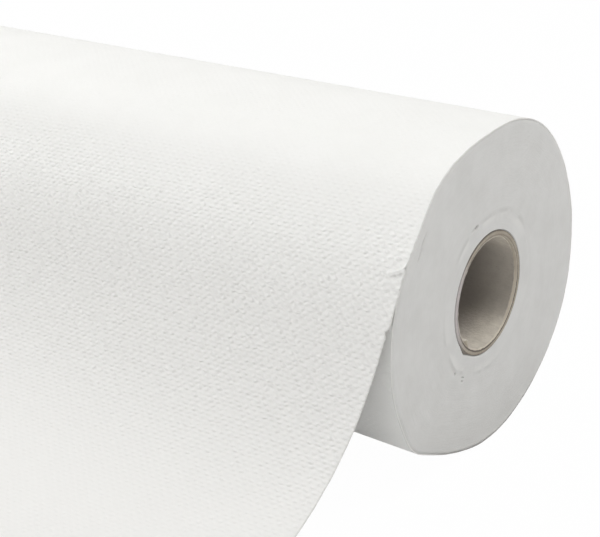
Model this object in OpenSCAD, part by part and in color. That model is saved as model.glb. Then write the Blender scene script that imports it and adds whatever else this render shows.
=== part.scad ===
// A roll of soft embossed couch paper on a board core, lying on its side.
// The paper is one strip. It starts on the core, is wound round it, leaves the upper front of
// the roll, falls in a curve and lies out flat on the surface that the roll rests on.
// X runs along the core, Y to the back and Z up. The origin is on the core's axis at mid width.

/* [Roll] */
// Width of the paper, and length of the core
web_w = 500; // [300:10:620]
// Radius of the wound paper where nothing presses it
roll_r = 60; // [50:1:75]
// How far the wound paper sits behind the core's axis
roll_shift = 1.2; // [0:0.1:4]
// How far the roll's own weight flattens it where it rests
rest_sag = 2.2; // [1:0.1:3]

/* [Soft places] */
// How far the top is pressed in
top_press = 3.4; // [0:0.1:5]
// How far the upper front is pressed in
front_press = 2.2; // [0:0.1:4]
// How far the lower front bulges out
low_bulge = 1.8; // [0:0.1:3]
// How far the under front is pressed in
under_press = 3.5; // [0:0.1:5]
// How far the lower back bulges out
back_bulge = 2.7; // [0:0.1:4]

/* [Loose sheet] */
// Thickness of the sheet over its embossing
sheet_t = 0.4; // [0.3:0.05:0.8]
// Angle at which the sheet leaves the roll, from the back over the top
leave_angle = 156; // [145:1:162]
// Length over which the fall keeps the direction it leaves in
fall_pull = 42; // [30:1:60]
// Length over which the fall eases onto the surface
land_pull = 141; // [90:1:150]
// Distance from the core's axis to where the sheet lands
land_y = 218; // [190:1:260]
// Length of sheet that lies flat beyond the landing
tail_l = 45; // [20:1:120]

/* [Core] */
// Outer radius of the core
core_r = 21.5; // [19:0.5:30]
// Wall of the core
core_wall = 2.3; // [1:0.1:4]
// How far the outer ply stands out at its lap
lap_rise = 0.9; // [0.3:0.1:1.5]
// Angle of the lap, from the back over the top
lap_angle = 229; // [180:1:300]

/* [Turn lines] */
// Turns that the winding line makes on each end face
turn_lines = 8; // [3:1:12]
// Width of the winding line
line_w = 0.6; // [0.3:0.1:1]
// Depth of the winding line
line_d = 0.4; // [0.2:0.1:1]
// Paper left between the winding line and the core or the outside
line_margin = 1.6; // [1:0.1:4]

/* [Hidden] */

paper_colour = [0.93, 0.93, 0.92];
board_colour = [0.66, 0.63, 0.57];

// Height of the surface under the core's axis
floor_z = rest_sag - roll_r;

// Degrees between two points of the outside, and of the winding line
outside_step = 2;
line_step = 10;
// Pieces that the curve of the falling sheet is drawn in
fall_steps = 28;
// Degrees over which the lap rises out of the core's round, and over which it sinks back
lap_up = 16;
lap_down = 20;
// How far the two feet of the lap lie inside the core's round, so that they meet it at an angle
lap_foot = 0.1;
// How far a cutting shape reaches past the face it cuts
over = 1;

// Each soft place: its angle from the back over the top, its half width in degrees and its
// change of radius
SOFT_PLACES = [
  [98, 25, -top_press],
  [145, 13, -front_press],
  [222, 9, low_bulge],
  [252, 26, -under_press],
  [337, 29, back_bulge]
];

// Angle from one direction to another, between -180 and 180 degrees
function turn_to(a, b) = (((a - b) % 360) + 540) % 360 - 180;

// Sum of what the soft places add to the radius at angle a, from place i onwards
function softness(a, i = 0) =
  i == len(SOFT_PLACES) ? 0 :
  SOFT_PLACES[i][2] * exp(-pow(turn_to(a, SOFT_PLACES[i][0]) / SOFT_PLACES[i][1], 2))
  + softness(a, i + 1);

function along(a, r) = [r * cos(a), r * sin(a)];

// A point of the roll's outside at angle a, set in by depth
function outside(a, depth = 0) = [roll_shift, 0] + along(a, roll_r + softness(a) - depth);

// A point between the core, at share 0, and the outside, at share 1, margins kept
function inside(a, share) =
  (1 - share) * along(a, core_r + line_margin) + share * outside(a, line_margin);

function unit(v) = v / norm(v);
function left_of(v) = [-v.y, v.x];

// Direction in which the sheet leaves the roll
leave_dir = unit(outside(leave_angle + 0.5) - outside(leave_angle - 0.5));

// The fall of the sheet's upper face: one curve from the roll to the surface
FALL = [
  outside(leave_angle),
  outside(leave_angle) + fall_pull * leave_dir,
  [land_pull - land_y, floor_z + sheet_t],
  [-land_y, floor_z + sheet_t]
];
function fall_point(t) =
  pow(1 - t, 3) * FALL[0] + 3 * t * pow(1 - t, 2) * FALL[1]
  + 3 * t * t * (1 - t) * FALL[2] + pow(t, 3) * FALL[3];
function fall_dir(t) =
  unit(pow(1 - t, 2) * (FALL[1] - FALL[0]) + 2 * t * (1 - t) * (FALL[2] - FALL[1])
  + t * t * (FALL[3] - FALL[2]));

// Where the line from p to q meets the surface
function meets_floor(p, q) = p + (q - p) * (floor_z - p.y) / (q.y - p.y);

// The outside of the wound turns, once round from under the sheet to the top of it. The
// radius grows by one sheet on the way, and the flat spot replaces what would be below.
turn_steps = 360 / outside_step;
ROUND = [
  for (i = [0 : turn_steps])
    outside(leave_angle + i * outside_step, sheet_t * (1 - i / turn_steps))
];
WOUND = [
  for (i = [0 : turn_steps])
    let (p = ROUND[i], q = ROUND[min(i + 1, turn_steps)])
    each [
      if (p.y > floor_z) p,
      if ((p.y > floor_z) != (q.y > floor_z)) meets_floor(p, q)
    ]
];

// The sheet's upper face from the roll to its cut end, and its under face back to the roll
UPPER = [
  for (i = [1 : fall_steps]) fall_point(i / fall_steps),
  [-land_y - tail_l, floor_z + sheet_t]
];
UNDER = [
  [-land_y - tail_l, floor_z],
  for (i = [fall_steps : -1 : 1])
    let (t = i / fall_steps)
    fall_point(t) + sheet_t * left_of(fall_dir(t))
];

// The winding line, from its outer end inwards and back along its other side
line_steps = turn_lines * 360 / line_step;
function line_point(i, side) =
  let (a = leave_angle - i * line_step)
  inside(a, 1 - i / line_steps) + along(a, side * line_w / 2);
WINDING_LINE = [
  for (i = [0 : line_steps]) line_point(i, 1),
  for (i = [line_steps : -1 : 0]) line_point(i, -1)
];

// Stands an outline in the YZ plane up as a bar along X, of the given length, from x
module bar(x, length) {
  translate([x, 0, 0])
    rotate([90, 0, 90])
      linear_extrude(length)
        children();
}

// The core's outside: a true cylinder with the lap of its outer ply
module core_outside(length) {
  rotate([0, 90, 0])
    cylinder(h = length, r = core_r, center = true, $fn = 128);
  bar(-length / 2, length)
    polygon([
      [0, 0],
      along(lap_angle - lap_up, core_r - lap_foot),
      along(lap_angle, core_r + lap_rise),
      along(lap_angle + lap_down, core_r - lap_foot)
    ]);
}

module core_tube() {
  color(board_colour)
    difference() {
      core_outside(web_w);
      rotate([0, 90, 0])
        cylinder(h = web_w + 2 * over, r = core_r - core_wall, center = true, $fn = 128);
    }
}

module paper_web() {
  color(paper_colour)
    difference() {
      bar(-web_w / 2, web_w)
        polygon(concat(WOUND, UPPER, UNDER));
      core_outside(web_w + 2 * over);
      bar(web_w / 2 - line_d, line_d + over)
        polygon(WINDING_LINE);
      bar(-web_w / 2 - over, line_d + over)
        polygon(WINDING_LINE);
    }
}

core_tube();
paper_web();
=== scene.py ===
import math
import bmesh
import bpy
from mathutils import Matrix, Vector, noise


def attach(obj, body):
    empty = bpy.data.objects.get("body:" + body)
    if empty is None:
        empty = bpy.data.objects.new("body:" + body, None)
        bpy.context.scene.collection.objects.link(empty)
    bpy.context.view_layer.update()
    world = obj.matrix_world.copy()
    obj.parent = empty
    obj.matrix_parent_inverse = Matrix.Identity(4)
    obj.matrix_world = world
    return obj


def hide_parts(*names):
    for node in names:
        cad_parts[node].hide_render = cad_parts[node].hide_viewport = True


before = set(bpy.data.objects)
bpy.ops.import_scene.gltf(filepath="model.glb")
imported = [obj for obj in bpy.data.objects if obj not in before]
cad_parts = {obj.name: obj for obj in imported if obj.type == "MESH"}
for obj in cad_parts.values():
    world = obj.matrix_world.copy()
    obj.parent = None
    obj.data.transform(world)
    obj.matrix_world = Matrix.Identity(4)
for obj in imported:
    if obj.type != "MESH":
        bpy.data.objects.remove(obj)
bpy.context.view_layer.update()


# Core tube. The real one is grey-brown recycled board: plies of it are glued and wound in a
# spiral on a mandrel, and the tube is sawn to the paper's width, which leaves a slightly
# crushed rim. The outer ply ends in a lap that stands proud, and paper is wound straight on it.
WIDTH = 0.5
CORE_R = 0.0215
CORE_WALL = 0.0023
LINER_T = 0.0003
# The outer ply's lap: its height, its angle from the back over the top in degrees, the degrees
# that it takes up to its tip and down again, and how far its feet lie inside the core's round
LAP_RISE = 0.0009
LAP_ANGLE = 229
LAP_UP = 16
LAP_DOWN = 20
LAP_FOOT = 0.0001
CORE_SIDES = 360
BORE_R = CORE_R - CORE_WALL + LINER_T
# Loops of the sawn rim: share of the wall from the outside in, and how far each is set back
SAWN_RIM = [
    (0.00, 0.00022),
    (0.05, 0.00006),
    (0.12, 0.00000),
    (0.22, 0.00002),
    (0.26, 0.00012),
    (0.30, 0.00002),
    (0.44, 0.00000),
    (0.49, 0.00011),
    (0.54, 0.00001),
    (0.68, 0.00000),
    (0.73, 0.00012),
    (0.78, 0.00002),
    (0.90, 0.00004),
    (0.97, 0.00010),
    (1.00, 0.00026),
]
# How coarse the rim's torn fibres are, and how far they lie back
FRAY_GRAIN = 0.0011
FRAY_REACH = 0.00007
# Points that are closer than this are one place
SAME_PLACE = 0.000001
# Degrees up to which neighbouring faces of board are shaded as one round
BOARD_ROUND = 50


def deselect():
    """Nothing is left selected, so that an operator acts on the piece at hand alone."""
    if bpy.context.mode != "OBJECT":
        bpy.ops.object.mode_set(mode="OBJECT")
    bpy.ops.object.select_all(action="DESELECT")


def new_piece(name):
    """Names the piece that an operator has just added, and its mesh."""
    piece = bpy.context.object
    piece.name = name
    piece.data.name = name
    return piece


def angle_of(place):
    """Degrees round the core's axis, from the back over the top."""
    return math.degrees(math.atan2(place.z, place.y)) % 360


def lap_reach(angle):
    """Radius of the core's outside: a true round, with the outer ply's lap standing out."""
    span = math.radians(LAP_UP if angle < LAP_ANGLE else LAP_DOWN)
    away = math.radians(abs(angle - LAP_ANGLE))
    if away >= span:
        return CORE_R
    tip = CORE_R + LAP_RISE
    foot = CORE_R - LAP_FOOT
    straight = foot * tip * math.sin(span) / (foot * math.sin(span - away) + tip * math.sin(away))
    return max(CORE_R, straight)


def rough(x, y, z, size, height):
    """A smooth uneven value, the same in every run: size is its grain and height its reach."""
    return height * noise.noise(Vector((x, y, z)) / size)


deselect()
bpy.ops.mesh.primitive_cylinder_add(
    vertices=CORE_SIDES,
    radius=CORE_R,
    depth=WIDTH,
    end_fill_type="NOTHING",
    rotation=(0, math.pi / 2, 0),
)
core = new_piece("board_core")
bpy.ops.object.transform_apply(location=True, rotation=True, scale=True)
for vert in core.data.vertices:
    reach = lap_reach(angle_of(vert.co))
    vert.co.y *= reach / CORE_R
    vert.co.z *= reach / CORE_R


def saw_rim(side):
    """Grows the rim at one end, loop by loop, from the core's outside to the liner ply."""
    shell = bmesh.from_edit_mesh(core.data)
    for part in list(shell.faces) + list(shell.edges):
        part.select = False
    for edge in shell.edges:
        edge.select = all(abs(v.co.x - side * WIDTH / 2) < SAME_PLACE for v in edge.verts)
    shell.select_flush_mode()
    bmesh.update_edit_mesh(core.data)
    for share, set_back in SAWN_RIM:
        if share > 0:
            bpy.ops.mesh.extrude_edges_indiv()
        shell = bmesh.from_edit_mesh(core.data)
        for vert in shell.verts:
            if not vert.select:
                continue
            angle = angle_of(vert.co)
            turn = math.radians(angle)
            reach = (1 - share) * lap_reach(angle) + share * BORE_R
            fray = rough(vert.co.y, vert.co.z, side * share, FRAY_GRAIN, FRAY_REACH)
            vert.co.x = side * (WIDTH / 2 - set_back - abs(fray))
            vert.co.y = reach * math.cos(turn)
            vert.co.z = reach * math.sin(turn)
        bmesh.update_edit_mesh(core.data)


bpy.ops.object.mode_set(mode="EDIT")
bpy.ops.mesh.select_mode(type="EDGE")
saw_rim(1)
saw_rim(-1)
shell = bmesh.from_edit_mesh(core.data)
for edge in shell.edges:
    edge.select = edge.is_boundary
bmesh.update_edit_mesh(core.data)
bpy.ops.mesh.bridge_edge_loops()
bpy.ops.mesh.select_all(action="SELECT")
bpy.ops.mesh.normals_make_consistent(inside=False)
bpy.ops.object.mode_set(mode="OBJECT")
bpy.ops.object.shade_smooth_by_angle(angle=math.radians(BOARD_ROUND))


class Wire:
    """An output of a material's nodes. Arithmetic on it adds Math nodes, add any other node."""

    def __init__(self, tree, socket=None):
        self.tree = tree
        self.socket = socket

    def add(self, kind, settings=None, values=None, out=0):
        """Adds a node of this type. Its settings are set first, then its sockets."""
        node = self.tree.nodes.new("ShaderNode" + kind)
        for name, setting in (settings or {}).items():
            setattr(node, name, setting)
        for name, value in (values or {}).items():
            if isinstance(value, Wire):
                self.tree.links.new(value.socket, node.inputs[name])
            else:
                node.inputs[name].default_value = value
        return Wire(self.tree, node.outputs[out])

    def maths(self, operation, *terms):
        return self.add("Math", {"operation": operation}, dict(enumerate(terms)))

    def __add__(self, other):
        return self.maths("ADD", self, other)

    def __sub__(self, other):
        return self.maths("SUBTRACT", self, other)

    def __mul__(self, other):
        return self.maths("MULTIPLY", self, other)

    def __radd__(self, other):
        return self.maths("ADD", other, self)

    def __rsub__(self, other):
        return self.maths("SUBTRACT", other, self)

    def __rmul__(self, other):
        return self.maths("MULTIPLY", other, self)

    def __abs__(self):
        return self.maths("ABSOLUTE", self)

    def cos(self):
        return self.maths("COSINE", self)

    def power(self, exponent):
        return self.maths("POWER", self, exponent)

    def from_to(self, low, high, new_low=0.0, new_high=1.0):
        """Where the value goes from low to high, the result goes smoothly between the new ones."""
        ends = {"From Min": low, "From Max": high, "To Min": new_low, "To Max": new_high}
        return self.add("MapRange", {"interpolation_type": "SMOOTHSTEP"}, {"Value": self, **ends})

    def grain(self, scale, detail=2.0, roughness=0.5):
        """A cloudy value near 0.5 at these coordinates."""
        values = {"Vector": self, "Scale": scale, "Detail": detail, "Roughness": roughness}
        return self.add("TexNoise", None, values)

    def split(self):
        """The x, y and z of these coordinates."""
        node = self.add("SeparateXYZ", None, {"Vector": self}).socket.node
        return [Wire(self.tree, output) for output in node.outputs]

    def stretch(self, x, y, z):
        """These coordinates, each multiplied by its own factor."""
        return self.add("VectorMath", {"operation": "MULTIPLY"}, {0: self, 1: (x, y, z)})

    def tint(self, low, high):
        """A colour that goes from low to high with this share."""
        colours = {0: self, 6: (*low, 1), 7: (*high, 1)}
        return self.add("Mix", {"data_type": "RGBA"}, colours, out=2)

    def towards(self, colour, share):
        """This colour, mixed with another one by share."""
        return self.add("Mix", {"data_type": "RGBA"}, {0: share, 6: self, 7: (*colour, 1)}, out=2)


def finish(name, roughness, colour, rough_value, height, bump_distance):
    """A material from its nodes' colour, roughness and height. The plain roughness is what a
    viewer shows that doesn't read the nodes, and the bump distance is in metres."""
    material = bpy.data.materials.new(name)
    material.use_nodes = True
    tree = material.node_tree
    shader = tree.nodes["Principled BSDF"]
    shader.inputs["Roughness"].default_value = roughness
    start = Wire(tree)
    relief = start.add("Bump", None, {"Height": height(start), "Distance": bump_distance})
    tree.links.new(colour(start).socket, shader.inputs["Base Color"])
    tree.links.new(rough_value(start).socket, shader.inputs["Roughness"])
    tree.links.new(relief.socket, shader.inputs["Normal"])
    return material


BOARD_DARK = (0.352, 0.308, 0.246)
BOARD_LIGHT = (0.455, 0.405, 0.332)
BOARD_FLECK = (0.20, 0.17, 0.14)
RIM_PALE = (0.560, 0.520, 0.515)
# Painted shade for the thin gaps at the rim's outer and inner edges
RIM_GAP_SHADE = (0.075, 0.062, 0.052)
BORE_EDGE = (0.600, 0.540, 0.450)


def place_of(start):
    """Object coordinates, in metres."""
    return start.add("TexCoord", out=3)


def board_tone(start):
    """Cloudy and streaky, as pulp from waste paper dries."""
    place = place_of(start)
    cloud = place.grain(260, 4, 0.6)
    streak = place.stretch(0.35, 1, 1).grain(1900, 3, 0.65)
    return (cloud * 0.55 + streak * 0.45).from_to(0.34, 0.66)


def board_colour(start):
    """The rim is pale at the front, and painted shade draws a thin dark line at its outer and its
    inner edge, in the gaps beside the paper and the liner.
    """
    place = place_of(start)
    _, y, z = place.split()
    radius = (y * y + z * z).power(0.5) + (place.grain(700, 2) - 0.5) * 0.0004
    # Painted shade: dark lines in the gaps at the rim's outer edge and at its inner edge, fainter at
    # the front
    outer_gap_shade = radius.from_to(CORE_R - 0.0005, CORE_R - 0.0001)
    inner_gap_shade = radius.from_to(BORE_R + 0.0001, BORE_R + 0.0003)
    inner_gap_shade = inner_gap_shade * radius.from_to(BORE_R + 0.0006, BORE_R + 0.0010, 1.0, 0.0)
    bore_side = radius.from_to(BORE_R + 0.0001, BORE_R + 0.0004, 1.0, 0.0)
    front_side = y.from_to(-0.0205, -0.0120, 1.0, 0.0)
    fleck = place.grain(2600, 2).from_to(0.66, 0.74)
    colour = board_tone(start).tint(BOARD_DARK, BOARD_LIGHT)
    colour = colour.towards(RIM_PALE, front_side * 0.9).towards(BOARD_FLECK, fleck * 0.7)
    colour = colour.towards(BORE_EDGE, bore_side * z.from_to(-0.002, 0.006, 1.0, 0.3))
    drawn = front_side.from_to(0.0, 1.0, 1.0, 0.35)
    colour = colour.towards(RIM_GAP_SHADE, outer_gap_shade * drawn * 0.75)
    return colour.towards(RIM_GAP_SHADE, inner_gap_shade * drawn * z.from_to(-0.004, 0.006, 0.85, 0.35))


def board_roughness(start):
    return place_of(start).grain(700, 3).from_to(0.3, 0.7, 0.78, 0.92)


def board_height(start):
    place = place_of(start)
    return place.stretch(0.4, 1, 1).grain(1500, 4, 0.65) + place.grain(420, 2) * 0.8


board = finish("recycled_board", 0.85, board_colour, board_roughness, board_height, 0.00025)
core.data.materials.clear()
core.data.materials.append(board)
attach(core, "root")
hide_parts("core_tube")


# Liner ply of the core. The real one is the innermost strip of the same board, wound on the
# mandrel first, so its edges meet in an open spiral seam inside the tube. The saw has torn it
# back a little from the mouth.
LINER_R = CORE_R - CORE_WALL
LINER_SIDES = 180
LINER_CUTS = 100
# Degrees that the seam winds from end to end, and its angle at mid width
LINER_TURN = 1200
SEAM_START = 14
# Air between the liner and the wall, so that the two don't share a face
PLY_GAP = 0.00001
# The torn mouth: how far it stops short all round and how much more at the back of the bore,
# the middle of that place, its half width and how softly it ends in degrees, and the grain and
# reach of its fibres
TORN_ROUND = 0.0003
TORN_MORE = 0.0008
TORN_ANGLE = 12
TORN_HALF = 58
TORN_EASE = 5
TORN_GRAIN = 0.0006
TORN_REACH = 0.00018
# The loose corner beside the lap: its angle, its half width and how far it stands in
CURL_ANGLE = 226
CURL_HALF = 5
CURL_REACH = 0.0016

deselect()
bpy.ops.mesh.primitive_cylinder_add(
    vertices=LINER_SIDES,
    radius=LINER_R,
    depth=WIDTH,
    end_fill_type="NOTHING",
    rotation=(0, math.pi / 2, 0),
)
liner = new_piece("core_liner")
bpy.ops.object.transform_apply(location=True, rotation=True, scale=True)
bpy.ops.object.mode_set(mode="EDIT")
bpy.ops.mesh.select_mode(type="EDGE")
shell = bmesh.from_edit_mesh(liner.data)
for edge in shell.edges:
    edge.select = abs(edge.verts[0].co.x - edge.verts[1].co.x) > WIDTH / 2
bmesh.update_edit_mesh(liner.data)
bpy.ops.mesh.subdivide(number_cuts=LINER_CUTS)
bpy.ops.mesh.select_mode(type="FACE")
shell = bmesh.from_edit_mesh(liner.data)
for face in shell.faces:
    middle = face.calc_center_median()
    face.select = abs(angle_of(middle) - SEAM_START) < 180 / LINER_SIDES
bmesh.update_edit_mesh(liner.data)
bpy.ops.mesh.delete(type="FACE")
bpy.ops.object.mode_set(mode="OBJECT")
twist = liner.modifiers.new("spiral", "SIMPLE_DEFORM")
twist.deform_method = "TWIST"
twist.deform_axis = "X"
twist.angle = math.radians(LINER_TURN)
bpy.ops.object.modifier_apply(modifier=twist.name)


def turn_between(angle, middle):
    """Degrees from middle to angle, between -180 and 180."""
    return (angle - middle + 180) % 360 - 180


def torn_back(angle):
    """How far the liner stops short of the mouth: most of it at the back of the bore."""
    away = abs(turn_between(angle, TORN_ANGLE))
    torn = TORN_MORE / (1 + math.exp((away - TORN_HALF) / TORN_EASE))
    return TORN_ROUND + torn + rough(angle * 0.0001, 0, 0, TORN_GRAIN, TORN_REACH)


def curl(angle):
    """How far the liner's loose corner stands in from the wall, beside the lap."""
    away = turn_between(angle, CURL_ANGLE)
    return CURL_REACH * math.exp(-((away / CURL_HALF) ** 2))


for vert in liner.data.vertices:
    if abs(vert.co.x) > WIDTH / 2 - 1e-5:
        turn = angle_of(vert.co)
        vert.co.x -= math.copysign(torn_back(turn), vert.co.x)
        vert.co.y *= 1 - curl(turn) / LINER_R
        vert.co.z *= 1 - curl(turn) / LINER_R
wall = liner.modifiers.new("ply", "SOLIDIFY")
wall.thickness = LINER_T - PLY_GAP
wall.offset = 1
bpy.ops.object.modifier_apply(modifier=wall.name)
bpy.ops.object.mode_set(mode="EDIT")
bpy.ops.mesh.select_all(action="SELECT")
bpy.ops.mesh.normals_make_consistent(inside=False)
bpy.ops.object.mode_set(mode="OBJECT")
bpy.ops.object.shade_smooth_by_angle(angle=math.radians(BOARD_ROUND))

# Painted shade deep in the bore
LINER_DEEP_SHADE = (0.368, 0.336, 0.308)
LINER_DARK = (0.570, 0.522, 0.448)
LINER_LIGHT = (0.710, 0.658, 0.570)
# Painted shade on one side of the bore
LINER_SIDE_SHADE = (0.258, 0.234, 0.210)
# Angle of the side of the bore that painted shade darkens
SHADED_SIDE_ANGLE = -5


def along(angle, radius):
    """The point at this angle and radius in the YZ plane."""
    turn = math.radians(angle)
    return Vector((radius * math.cos(turn), radius * math.sin(turn)))


def liner_colour(start):
    """Painted shade makes it darker deeper in the bore, so it is paler near the mouth, and darker on
    one side of the bore.
    """
    place = place_of(start)
    x, y, z = place.split()
    # Painted shade: the side of the bore towards this angle goes darker
    shade_way = along(SHADED_SIDE_ANGLE, 1)
    side_shade = (y * shade_way.x + z * shade_way.y).from_to(LINER_R * 0.60, LINER_R * 0.92)
    # Painted shade: darker deeper in the bore
    deep = abs(x).from_to(WIDTH / 2 - 0.022, WIDTH / 2 - 0.002, 1.0, 0.0)
    fleck = place.grain(2600, 2).from_to(0.66, 0.74)
    colour = board_tone(start).tint(LINER_DARK, LINER_LIGHT).towards(LINER_DEEP_SHADE, deep)
    return colour.towards(LINER_SIDE_SHADE, side_shade * 0.6).towards(BOARD_FLECK, fleck * 0.5)


liner_board = finish("liner_board", 0.85, liner_colour, board_roughness, board_height, 0.00025)
liner.data.materials.clear()
liner.data.materials.append(liner_board)
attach(liner, "root")


# Wound turns. The real ones are some 190 turns of soft two-ply tissue, cut to width together
# into a flat face of fine paper edges. Each ring here is two of them. The roll is soft: it is
# pressed flat at the top and under the front, and rests on a narrow flat place.
ROLL_R = 0.060
ROLL_SHIFT = 0.0012
FLOOR_Z = 0.0022 - ROLL_R
SHEET_T = 0.0004
LEAVE_ANGLE = 156
# Soft places: angle, half width in degrees and change of radius
SOFT_PLACES = [
    (98, 25, -0.0034),
    (145, 13, -0.0022),
    (222, 9, 0.0018),
    (252, 26, -0.0035),
    (337, 29, 0.0027),
]
TURNS = 96
ROUND_STEPS = 360
OUTSIDE_STATIONS = 8
# Air between the turns and the sheet that lies round them
SLACK = 0.00003
# Over the last of this many parts of the round, the turns sink by a sheet to meet their start
TUCK_PARTS = 36
# The turns' edges in the end face: mean depth, slow drift and fine fray, how many turns at the
# outside are rounded off and by how much, and how far the first one, on the core, is set back
EDGE_DEPTH = 0.00012
EDGE_DRIFT = 0.00006
EDGE_FRAY = 0.00002
ROUNDED_TURNS = 3
ROUNDED_DEPTH = 0.00005
FIRST_TURN_DEPTH = 0.0005
# Small gaps between turns in the end face: angle, radius, half length, half width and depth
END_GAPS = [
    (111.4, 0.02785, 0.0007, 0.00042, 0.0032),
    (116.4, 0.0284, 0.0011, 0.00026, 0.0014),
    (228.7, 0.0297, 0.0005, 0.00036, 0.0014),
    (240.3, 0.0295, 0.0006, 0.00030, 0.0012),
    (240.6, 0.0308, 0.0004, 0.00036, 0.0014),
    (143.8, 0.0520, 0.0030, 0.00045, 0.0010),
    (149.6, 0.0512, 0.0024, 0.00050, 0.0009),
]


def softness(angle):
    """What the soft places add to the radius at this angle."""
    total = 0.0
    for middle, half, change in SOFT_PLACES:
        total += change * math.exp(-((turn_between(angle, middle) / half) ** 2))
    return total


def outside(angle, depth=0.0):
    """A point of the roll's outside in the YZ plane, set in by depth."""
    return Vector((ROLL_SHIFT, 0)) + along(angle, ROLL_R + softness(angle) - depth)


def paper_grid(name, columns, rows, place, chart):
    """A grid of columns by rows points. place gives each point, chart its UV in metres."""
    deselect()
    bpy.ops.mesh.primitive_grid_add(x_subdivisions=columns - 1, y_subdivisions=rows - 1, size=2)
    piece = new_piece(name)
    spots = []
    for vert in piece.data.vertices:
        column = round((vert.co.x + 1) / 2 * (columns - 1))
        row = round((vert.co.y + 1) / 2 * (rows - 1))
        spots.append((column, row))
    for vert, (column, row) in zip(piece.data.vertices, spots):
        vert.co = place(column, row)
    layer = piece.data.uv_layers[0].data
    for loop in piece.data.loops:
        layer[loop.index].uv = chart(*spots[loop.vertex_index])
    return piece


def end_gap(angle, radius):
    """How deep the end face is at a place where two turns stand apart."""
    depth = 0.0
    for middle, ring, half_length, half_width, deep in END_GAPS:
        away = math.radians(turn_between(angle, middle)) * ring
        reach = (away / half_length) ** 4 + ((radius - ring) / half_width) ** 2
        depth = max(depth, deep * math.exp(-reach))
    return depth


def turn_relief(ring, angle, side):
    """How far this turn's edge lies in from the end's plane."""
    turn = math.radians(angle)
    across = Vector((math.cos(turn), math.sin(turn), side * 3.1))
    drift = noise.noise(across * 1.6 + Vector((0, 0, ring * 0.11)))
    fray = noise.noise(across * 9 + Vector((0, 0, ring * 0.9)))
    depth = EDGE_DEPTH + EDGE_DRIFT * drift + EDGE_FRAY * fray
    if ring > TURNS - ROUNDED_TURNS:
        depth += ROUNDED_DEPTH * (ring - TURNS + ROUNDED_TURNS) ** 2
    if ring == 0:
        depth += FIRST_TURN_DEPTH
    return depth


# Rows of the closed shell, each with its place along the width, from -1 to 1, and its ring: over
# the near end to the core, through the roll, over the far end, and back along the outside
STATIONS = [(1, ring) for ring in range(TURNS, -1, -1)]
STATIONS += [(-1, ring) for ring in range(0, TURNS + 1)]
for step in range(1, OUTSIDE_STATIONS):
    STATIONS.append((2 * step / OUTSIDE_STATIONS - 1, TURNS))
STATIONS.append((1, TURNS))


def wound_point(column, row):
    """A point of the shell, with the edges and gaps of the turns where it is on an end."""
    side, ring = STATIONS[row]
    share = ring / TURNS
    turn_share = column / ROUND_STEPS
    angle = LEAVE_ANGLE + 360 * turn_share
    tucked = 1 - min(1, (1 - turn_share) * TUCK_PARTS)
    depth = SHEET_T * (2 - turn_share + tucked) + SLACK
    outer = outside(angle, depth)
    outer.y = max(outer.y, FLOOR_Z + SHEET_T + SLACK)
    inner = along(angle, lap_reach(angle % 360))
    spot = inner.lerp(outer, share)
    x = side * WIDTH / 2
    if abs(side) == 1:
        x = side * (WIDTH / 2 - turn_relief(ring, angle, side))
        if side > 0:
            x -= end_gap(angle % 360, spot.length)
    return Vector((x, spot.x, spot.y))


def wound_chart(column, row):
    """Share of the way out from the core, and share of the way round."""
    return (STATIONS[row][1] / TURNS, column / ROUND_STEPS)


turns = paper_grid("wound_turns", ROUND_STEPS + 1, len(STATIONS), wound_point, wound_chart)
bpy.ops.object.mode_set(mode="EDIT")
bpy.ops.mesh.select_all(action="SELECT")
bpy.ops.mesh.remove_doubles(threshold=SAME_PLACE)
bpy.ops.mesh.normals_make_consistent(inside=False)
bpy.ops.object.mode_set(mode="OBJECT")
bpy.ops.object.shade_smooth_by_angle(angle=math.radians(40))

END_SHADE = (0.660, 0.654, 0.634)
END_LIGHT = (0.704, 0.699, 0.680)
RING_SHADE = (0.580, 0.573, 0.550)
RING_LIGHT = (0.745, 0.738, 0.712)
# Painted shade for the deep gaps between turns
END_GAP_SHADE = (0.16, 0.15, 0.13)


def turn_lines(start):
    """Turn number, counted from the core and growing by one each time round."""
    across, around, _ = start.add("UVMap").split()
    return across * TURNS + around


def end_streaks(start):
    """Coordinates that are fine across the turns and long along them."""
    turn = turn_lines(start)
    _, y, z = place_of(start).split()
    return start.add("CombineXYZ", None, {"X": turn * 0.9, "Y": y * 120, "Z": z * 120})


def end_colour(start):
    """Pale and even. Where the turns change tension near the core, one stands out light. Painted
    shade darkens it towards the bottom and where it is sunk deep between turns.
    """
    place = place_of(start)
    streak = end_streaks(start).grain(1.0, 3, 0.6)
    tone = (streak * 0.3 + place.grain(110, 3, 0.6) * 0.7).from_to(0.30, 0.68)
    turn = turn_lines(start) + (place.grain(60, 2) - 0.5) * 3.0
    light = turn.from_to(8.0, 14.0) * turn.from_to(15.0, 17.0, 1.0, 0.0)
    shade = turn.from_to(16.0, 17.6) * turn.from_to(18.4, 22.5, 1.0, 0.0)
    x, y, z = place.split()
    shown = z.from_to(0.012, 0.024) + (z + y * 0.6).from_to(-0.030, -0.016, 1.0, 0.0)
    patchy = place.grain(110, 2).from_to(0.40, 0.60) * shown.from_to(0.0, 1.0, 0.15, 1.0)
    # Painted shade: the face goes darker towards the bottom
    low = z.from_to(-0.056, -0.030, 1.0, 0.0)
    # Painted shade: where the face is sunk deep between turns it goes dark
    sunk_shade = abs(x).from_to(WIDTH / 2 - 0.0014, WIDTH / 2 - 0.0005, 1.0, 0.0)
    on_end = turn_lines(start).from_to(TURNS - 8, TURNS - 7, 1.0, 0.0)
    colour = tone.tint(END_SHADE, END_LIGHT).towards(RING_LIGHT, light * patchy * 0.8)
    colour = colour.towards(RING_SHADE, shade * patchy * 0.8).towards(RING_SHADE, low * 0.5)
    return colour.towards(END_GAP_SHADE, sunk_shade * on_end)


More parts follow.
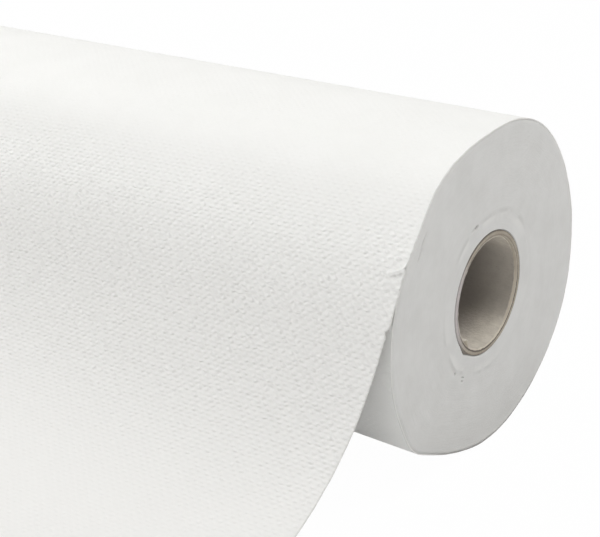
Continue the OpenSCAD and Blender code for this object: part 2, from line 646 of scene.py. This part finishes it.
def end_roughness(start):
    return end_streaks(start).grain(1.3, 2).from_to(0.3, 0.7, 0.86, 0.97)


def end_height(start):
    lines = (turn_lines(start) * (2 * math.pi)).cos()
    fibres = place_of(start).grain(2400, 3, 0.6)
    return lines * 0.10 + end_streaks(start).grain(1.0, 3, 0.6) * 0.25 + fibres * 0.5


end_paper = finish("paper_edges", 0.93, end_colour, end_roughness, end_height, 0.00022)
turns.data.materials.clear()
turns.data.materials.append(end_paper)
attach(turns, "root")
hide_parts("paper_web")


# Lead sheet. The real one is the outermost turn of the same strip of soft paper, embossed all
# over with short staggered ribs. It goes once round the roll, leaves it at the upper front,
# falls in a curve and lies out flat, and it ends in a plain straight cut.
FALL_PULL = 0.042
LAND_PULL = 0.141
LAND_Y = 0.218
TAIL_L = 0.045
# Points of its line: so many on the fall, and one at each of these steps in degrees on the roll
FALL_STEPS = 600
TURN_FINE = 0.25

leave = outside(LEAVE_ANGLE)
leave_way = (outside(LEAVE_ANGLE + 0.5) - outside(LEAVE_ANGLE - 0.5)).normalized()
FALL = [
    leave,
    leave + FALL_PULL * leave_way,
    Vector((LAND_PULL - LAND_Y, FLOOR_Z + SHEET_T)),
    Vector((-LAND_Y, FLOOR_Z + SHEET_T)),
]


def fall_point(share):
    """The falling sheet's upper face: one curve from the roll to the surface."""
    left = 1 - share
    curve = left**3 * FALL[0] + 3 * share * left**2 * FALL[1]
    return curve + 3 * share**2 * left * FALL[2] + share**3 * FALL[3]


def web_line():
    """The lead sheet's outer face in the YZ plane, closely, from its hidden start to its end."""
    line = []
    steps = round(360 / TURN_FINE)
    for step in range(steps):
        angle = LEAVE_ANGLE + step * TURN_FINE
        spot = outside(angle, SHEET_T * (1 - step / steps))
        spot.y = max(spot.y, FLOOR_Z)
        line.append(spot)
    line += [fall_point(step / FALL_STEPS) for step in range(FALL_STEPS + 1)]
    line.append(Vector((-LAND_Y - TAIL_L, FLOOR_Z + SHEET_T)))
    return line


LINE = web_line()
ARC = [0.0]
for before, after in zip(LINE, LINE[1:]):
    ARC.append(ARC[-1] + (after - before).length)
LEAVE_ARC = ARC[round(360 / TURN_FINE)]
WEB_LENGTH = ARC[-1]


def web_at(arc):
    """Point and outward direction of the web's line at this length along it."""
    low, high = 0, len(ARC) - 1
    while high - low > 1:
        middle = (low + high) // 2
        if ARC[middle] <= arc:
            low = middle
        else:
            high = middle
    part = (arc - ARC[low]) / max(ARC[high] - ARC[low], 1e-9)
    way = (LINE[min(high + 1, len(LINE) - 1)] - LINE[max(low - 1, 0)]).normalized()
    return LINE[low].lerp(LINE[high], part), Vector((way.y, -way.x))


def spaced(stops):
    """Lengths from the first stop to the last, with each stretch's own spacing."""
    marks = [stops[0][0]]
    for (start, step), (end, _) in zip(stops, stops[1:]):
        count = max(1, round((end - start) / step))
        marks += [start + (end - start) * k / count for k in range(1, count + 1)]
    return marks


# Where each stretch of the grid starts, and its spacing, along the web and across it
ROWS = spaced([
    (0.0, 0.0035),
    (LEAVE_ARC - 0.060, 0.0016),
    (LEAVE_ARC - 0.008, 0.0004),
    (LEAVE_ARC + 0.010, 0.0007),
    (LEAVE_ARC + 0.040, 0.0016),
    (LEAVE_ARC + 0.100, 0.0030),
    (WEB_LENGTH - TAIL_L, 0.0050),
    (WEB_LENGTH, 0.0),
])
COLUMNS = spaced([
    (-WIDTH / 2, 0.0012),
    (-WIDTH / 2 + 0.012, 0.0040),
    (-WIDTH / 2 + 0.060, 0.0120),
    (WIDTH / 2 - 0.070, 0.0050),
    (WIDTH / 2 - 0.030, 0.0020),
    (WIDTH / 2 - 0.014, 0.0006),
    (WIDTH / 2 - 0.008, 0.00035),
    (WIDTH / 2, 0.0),
])
# Nicks in the near edge: length past where the sheet leaves the roll, half width and depth
NICKS = [
    (-0.0444, 0.0006, -0.0004),
    (-0.0381, 0.0009, 0.0003),
    (-0.0266, 0.0010, 0.0003),
    (0.0187, 0.0009, 0.0005),
    (0.0203, 0.0006, -0.0003),
]
# Creases: both ends (in from the near edge, past the leaving line), half width and height
CREASES = [
    ((0.0001, -0.0026), (0.0003, -0.0012), 0.00045, 0.00050),
    ((0.0003, -0.0012), (0.0049, 0.0014), 0.00045, 0.00060),
    ((0.0006, 0.0000), (0.0052, 0.0026), 0.00045, -0.00030),
    ((0.0049, 0.0014), (0.0085, 0.0020), 0.00050, 0.00025),
    ((0.0008, 0.0032), (0.0062, 0.0044), 0.00040, 0.00028),
    ((0.0004, 0.0052), (0.0070, 0.0066), 0.00040, 0.00026),
    ((0.0006, 0.0076), (0.0052, 0.0088), 0.00045, 0.00022),
    ((0.0010, -0.0044), (0.0066, -0.0032), 0.00045, 0.00020),
    ((0.0008, -0.0068), (0.0048, -0.0060), 0.00045, 0.00018),
]
# How far in the sheet follows its uneven edge, and the grain and reach of the edge's wander
EDGE_BAND = 0.005
SLOW_WANDER = (0.021, 0.00018)
QUICK_WANDER = (0.0042, 0.00012)
# Waves of the free sheet: their grain and reach, and how far they take to grow from the roll and
# to die out before the cut end
WIDE_WAVES = (0.085, 0.0007)
SMALL_WAVES = (0.030, 0.00016)
WAVES_GROW = 0.030
WAVES_END = 0.050


def crease_lift(x, past):
    """How far the creases lift the sheet off its smooth curve."""
    spot = Vector((WIDTH / 2 - x, past))
    lift = 0.0
    for start, end, half, height in CREASES:
        start, end = Vector(start), Vector(end)
        run = end - start
        part = min(1.0, max(0.0, (spot - start).dot(run) / run.length_squared))
        away = (spot - start - part * run).length
        lift += height * math.exp(-((away / half) ** 2))
    return lift


def eased(length, over):
    """Goes smoothly from 0 to 1 where the length passes 0."""
    return (1 + math.tanh(length / over)) / 2


def edge_place(x, past):
    """The edge isn't quite straight: it wanders a little, and has small nicks."""
    inwards = (WIDTH / 2 - abs(x)) / EDGE_BAND
    if inwards > 1:
        return x
    hold = (1 - inwards) ** 2
    wander = rough(past, x * 9, 0.3, *SLOW_WANDER) + rough(past, x * 9, 7.1, *QUICK_WANDER)
    if x > 0:
        for middle, half, deep in NICKS:
            wander -= deep * math.exp(-(((past - middle) / half) ** 2))
    pressed_in = 0.0004 * eased(-0.085 - past, 0.012) - 0.00008 * eased(-0.280 - past, 0.012)
    pulled_out = 0.0005 * (eased(past - 0.004, 0.002) - eased(past - 0.0178, 0.0006))
    return x + math.copysign(hold, x) * (wander - 0.0001 - pressed_in + pulled_out)


def sheet_point(column, row):
    """A point of the sheet's outer face, with its creases, its waves and its uneven edges."""
    x, arc = COLUMNS[column], ROWS[row]
    past = arc - LEAVE_ARC
    spot, out = web_at(arc)
    free = min(1.0, max(0.0, past / WAVES_GROW)) * min(1.0, max(0.0, (WEB_LENGTH - arc) / WAVES_END))
    lift = crease_lift(x, past)
    lift += free * (rough(x, past, 0, *WIDE_WAVES) + rough(x, past, 4.2, *SMALL_WAVES))
    spot = spot + lift * out
    spot.y = max(spot.y, FLOOR_Z + (SHEET_T if past > 0 else 0))
    return Vector((edge_place(x, past), spot.x, spot.y))


def sheet_chart(column, row):
    """The sheet laid out flat, in metres."""
    return (COLUMNS[column] + WIDTH / 2, ROWS[row])


sheet = paper_grid("lead_sheet", len(COLUMNS), len(ROWS), sheet_point, sheet_chart)
bpy.ops.object.mode_set(mode="EDIT")
bpy.ops.mesh.select_all(action="SELECT")
bpy.ops.mesh.normals_make_consistent(inside=False)
bpy.ops.object.mode_set(mode="OBJECT")
# An open sheet has no inside of its own, so a face on the roll tells which way is out
on_roll = sheet.data.polygons[len(sheet.data.polygons) // 3]
away_from_core = Vector((0, on_roll.center.y, on_roll.center.z))
if on_roll.normal.dot(away_from_core) < 0:
    sheet.data.flip_normals()
paper_wall = sheet.modifiers.new("paper", "SOLIDIFY")
paper_wall.thickness = SHEET_T
paper_wall.offset = -1
bpy.ops.object.modifier_apply(modifier=paper_wall.name)
bpy.ops.object.shade_smooth_by_angle(angle=math.radians(60))

# Embossing: waves in a metre across the sheet and along it, of the ribs and of their rows
RIBS_ACROSS = 329.0
RIBS_ALONG = -18.5
ROWS_ACROSS = 13.0
ROWS_ALONG = 351.5
# How much the ribs and the rows stand out, and how far the soft paper moves them about
RIB_SHARE = 0.84
ROW_SHARE = 0.80
RIB_SHIFT = 0.0021


def emboss(start):
    """Staggered short ribs in close rows across the sheet, uneven, as pressed in soft paper."""
    flat = start.add("UVMap")
    shake = flat.grain(260, 3, 0.6)
    x, down, _ = flat.split()
    shift = (shake - 0.5) * RIB_SHIFT
    u = x + shift
    v = down + shift * 0.8
    ribs = (u * RIBS_ACROSS + v * RIBS_ALONG) * (2 * math.pi)
    rows = (u * ROWS_ACROSS + v * ROWS_ALONG) * (2 * math.pi)
    strokes = ((ribs + rows).cos() + (ribs - rows).cos()) * RIB_SHARE
    waves = strokes + (rows * 2).cos() * ROW_SHARE
    uneven = flat.grain(420, 3, 0.6).from_to(0.30, 0.70, 0.30, 1.40)
    on_roll = down.from_to(LEAVE_ARC - 0.028, LEAVE_ARC - 0.003, 0.25, 1.0)
    laid_out = down.from_to(LEAVE_ARC + 0.040, LEAVE_ARC + 0.105, 1.0, 0.22)
    return waves * uneven * on_roll * laid_out


PAPER_SHADE = (0.866, 0.864, 0.838)
PAPER_LIGHT = (0.896, 0.893, 0.870)
FREE_PAPER = (0.780, 0.773, 0.752)
CUT_EDGE = (0.700, 0.690, 0.665)
# Painted shade for the cut edge along the bottom of the roll
CUT_EDGE_LOW_SHADE = (0.240, 0.228, 0.214)


def paper_colour(start):
    """White on the roll. Past it one thin layer hangs free, and some light goes through it."""
    flat = start.add("UVMap")
    x, down, _ = flat.split()
    at_edge = abs(x - WIDTH / 2).from_to(WIDTH / 2 - 0.0005, WIDTH / 2 - 0.0001)
    _, _, z = place_of(start).split()
    # Painted shade: the cut edge goes dark low down along the bottom of the roll, near the floor
    under = z.from_to(-0.056, -0.040, 1.0, 0.0) * down.from_to(LEAVE_ARC - 0.300, LEAVE_ARC - 0.280)
    under = under * down.from_to(LEAVE_ARC - 0.210, LEAVE_ARC - 0.190, 1.0, 0.0)
    free = down.from_to(LEAVE_ARC - 0.016, LEAVE_ARC + 0.026)
    cloud = flat.grain(35, 3, 0.55) * 0.6 + flat.grain(1500, 3, 0.6) * 0.4
    colour = cloud.from_to(0.30, 0.70).tint(PAPER_SHADE, PAPER_LIGHT)
    colour = colour.towards(FREE_PAPER, free * 0.88).towards(CUT_EDGE, at_edge * 0.9)
    return colour.towards(CUT_EDGE_LOW_SHADE, at_edge * under * 0.8)


def paper_roughness(start):
    return start.add("UVMap").grain(600, 2).from_to(0.3, 0.7, 0.82, 0.95)


def paper_height(start):
    return emboss(start) * 0.62 + start.add("UVMap").grain(2300, 3, 0.6) * 0.40


soft_paper = finish("embossed_paper", 0.9, paper_colour, paper_roughness, paper_height, 0.00014)
sheet.data.materials.clear()
sheet.data.materials.append(soft_paper)
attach(sheet, "root")
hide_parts("paper_web")


# Floor. Plain pale studio sweep, not a part of the object: it shows white, with the shadow of
# the roll and the sheet left on it.
FLOOR_R = 3.0
# How far the floor lies under the part, so that the two don't share a face
FLOOR_DROP = 0.00005
# Its grey in the studio's light, and the share of plain white that the camera sees over it
FLOOR_TONE = 0.88
FLOOR_WHITE = 0.985

deselect()
bpy.ops.mesh.primitive_circle_add(
    vertices=128, radius=FLOOR_R, fill_type="NGON", location=(0, 0, FLOOR_Z - FLOOR_DROP)
)
floor = new_piece("studio_floor")
bpy.ops.object.transform_apply(location=True, rotation=True, scale=True)
floor_finish = bpy.data.materials.new("studio_floor")
floor_finish.use_nodes = True
floor_tree = floor_finish.node_tree
floor_shader = floor_tree.nodes["Principled BSDF"]
floor_shader.inputs["Base Color"].default_value = (FLOOR_TONE, FLOOR_TONE, FLOOR_TONE, 1)
floor_shader.inputs["Roughness"].default_value = 1.0
floor_shader.inputs["Specular IOR Level"].default_value = 0.0


def white_rays(tree, share):
    """Share of white for rays that the camera, gloss or glass sends, and none for light."""
    seen = Wire(tree).add("LightPath")
    path = seen.socket.node.outputs
    glossy = Wire(tree, path["Is Glossy Ray"])
    clear = Wire(tree, path["Is Transmission Ray"])
    return seen.maths("MAXIMUM", seen.maths("MAXIMUM", seen, glossy), clear) * share


def white_to_camera(tree, lit_socket, share, end):
    """Mixes plain white light over what the camera sees of a floor or of the world."""
    kind = "ShaderNodeBackground" if end == "World Output" else "ShaderNodeEmission"
    white = tree.nodes.new(kind)
    white.inputs["Color"].default_value = (1, 1, 1, 1)
    white.inputs["Strength"].default_value = 1.0
    mix = tree.nodes.new("ShaderNodeMixShader")
    tree.links.new(white_rays(tree, share).socket, mix.inputs[0])
    tree.links.new(lit_socket, mix.inputs[1])
    tree.links.new(white.outputs[0], mix.inputs[2])
    tree.links.new(mix.outputs[0], tree.nodes[end].inputs["Surface"])


white_to_camera(floor_tree, floor_shader.outputs[0], FLOOR_WHITE, "Material Output")
floor.data.materials.append(floor_finish)


# Studio light. Soft and even: two soft boxes high over the two ends do most of it, and weaker
# ones fill in from the front and from beside the near end, where they reach into the bore.
ROOM_LIGHT = 0.056
# Each soft box: its name, its place, its size across and its power in watts
SOFT_BOXES = [
    ("high_at_the_far_end", (-1.5, -0.2, 1.0), 1.2, 27.7),
    ("high_at_the_near_end", (0.9, 0.7, 1.4), 1.0, 14.9),
    ("small_over_the_near_end", (0.8, 0.1, 1.2), 0.5, 2.4),
    ("front", (-0.3, -1.7, 0.7), 1.2, 5.6),
    ("low_front", (0.5, -1.6, 0.15), 0.8, 6.1),
    ("low_near_end", (1.3, -0.9, 0.2), 0.9, 3.3),
    ("beside_the_near_end", (1.8, 0.3, 0.35), 1.0, 1.6),
]

world = bpy.data.worlds.new("studio")
bpy.context.scene.world = world
world.use_nodes = True
room = world.node_tree.nodes["Background"]
room.inputs["Color"].default_value = (1, 1, 1, 1)
room.inputs["Strength"].default_value = ROOM_LIGHT
white_to_camera(world.node_tree, room.outputs[0], 1.0, "World Output")
for name, spot, size, power in SOFT_BOXES:
    deselect()
    bpy.ops.object.light_add(type="AREA", location=spot)
    lamp = bpy.context.object
    lamp.name = name
    lamp.data.shape = "DISK"
    lamp.data.size = size
    lamp.data.energy = power
    lamp.rotation_euler = (-Vector(spot)).to_track_quat("-Z", "Y").to_euler()


# Camera. It stands at the photograph's viewing angle: in front of the near end, to its right
# and above, looking along the falling sheet.
CAMERA_SPOT = (0.43914, -0.35268, 0.16519)
# Degrees that it looks down, and degrees that it is turned to the left of straight back
CAMERA_DOWN = 21.5816
CAMERA_TURN = 37.2408
# Focal length and width of the sensor in millimetres
LENS = 77.146
SENSOR = 36.0

deselect()
bpy.ops.object.camera_add(
    location=CAMERA_SPOT,
    rotation=(math.radians(90 - CAMERA_DOWN), 0, math.radians(CAMERA_TURN)),
)
camera = bpy.context.object
camera.name = "photo_camera"
camera.data.lens = LENS
camera.data.sensor_width = SENSOR
camera.data.clip_start = 0.01
bpy.context.scene.camera = camera
bpy.context.scene.view_settings.view_transform = "Standard"
